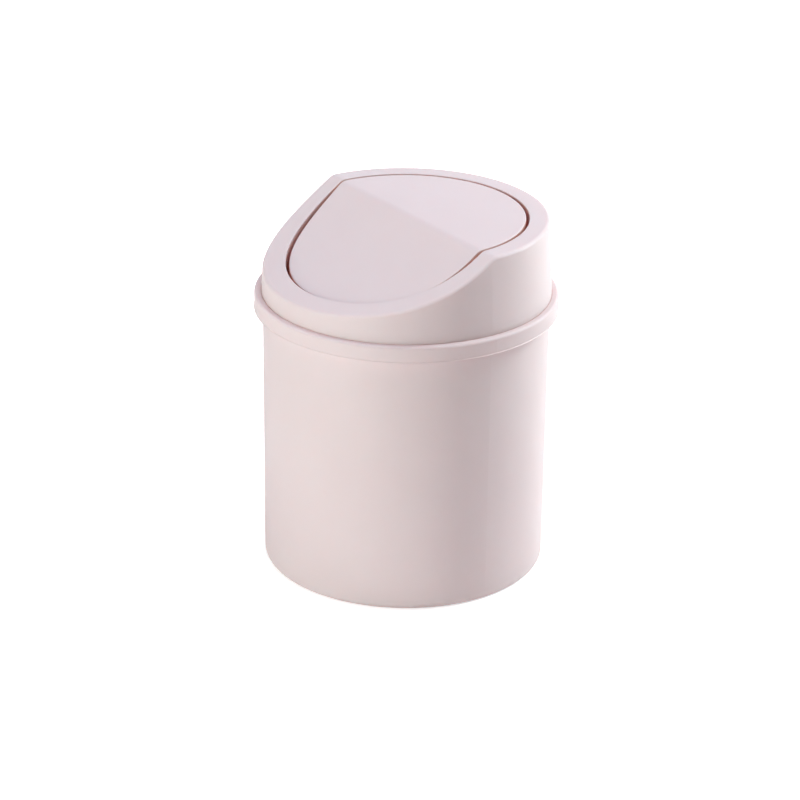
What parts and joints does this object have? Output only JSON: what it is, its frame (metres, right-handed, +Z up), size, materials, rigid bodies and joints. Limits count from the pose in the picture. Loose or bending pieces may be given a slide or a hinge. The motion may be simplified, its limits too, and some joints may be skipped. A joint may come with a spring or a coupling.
{
  "type": "swing-lid bin",
  "caption": "Small round desktop bin with a stepped band at its rim, a lift-off lid with a flat back and a scooped front, and a round swing flap in the lid's mouth.",
  "frame": {"origin": "middle of the base, on the surface that the bin stands on", "axes": "+Z up; the flap's pivot runs along X; the lid's scooped front faces -Y"},
  "size_m": [0.1252, 0.1252, 0.15],
  "materials": {
    "bucket": "satin, pale pink",
    "collar": "satin, pale pink",
    "flap": "satin, pale pink"
  },
  "bodies": {
    "bucket": {"bin_bucket": "bucket"},
    "lid": {"lid_collar": "collar"},
    "flap": {"swing_flap": "flap"}
  },
  "joints": [
    {"name": "lid_lift", "type": "slide", "parent": "bucket", "child": "lid", "axis": [0, 0, 1], "range_m": [0, 0.08]},
    {"name": "flap_swing", "type": "hinge", "parent": "lid", "child": "flap", "pos_m": [0, -0.00086, 0.1445], "axis": [1, 0, 0], "range_deg": [-80, 80]}
  ]
}
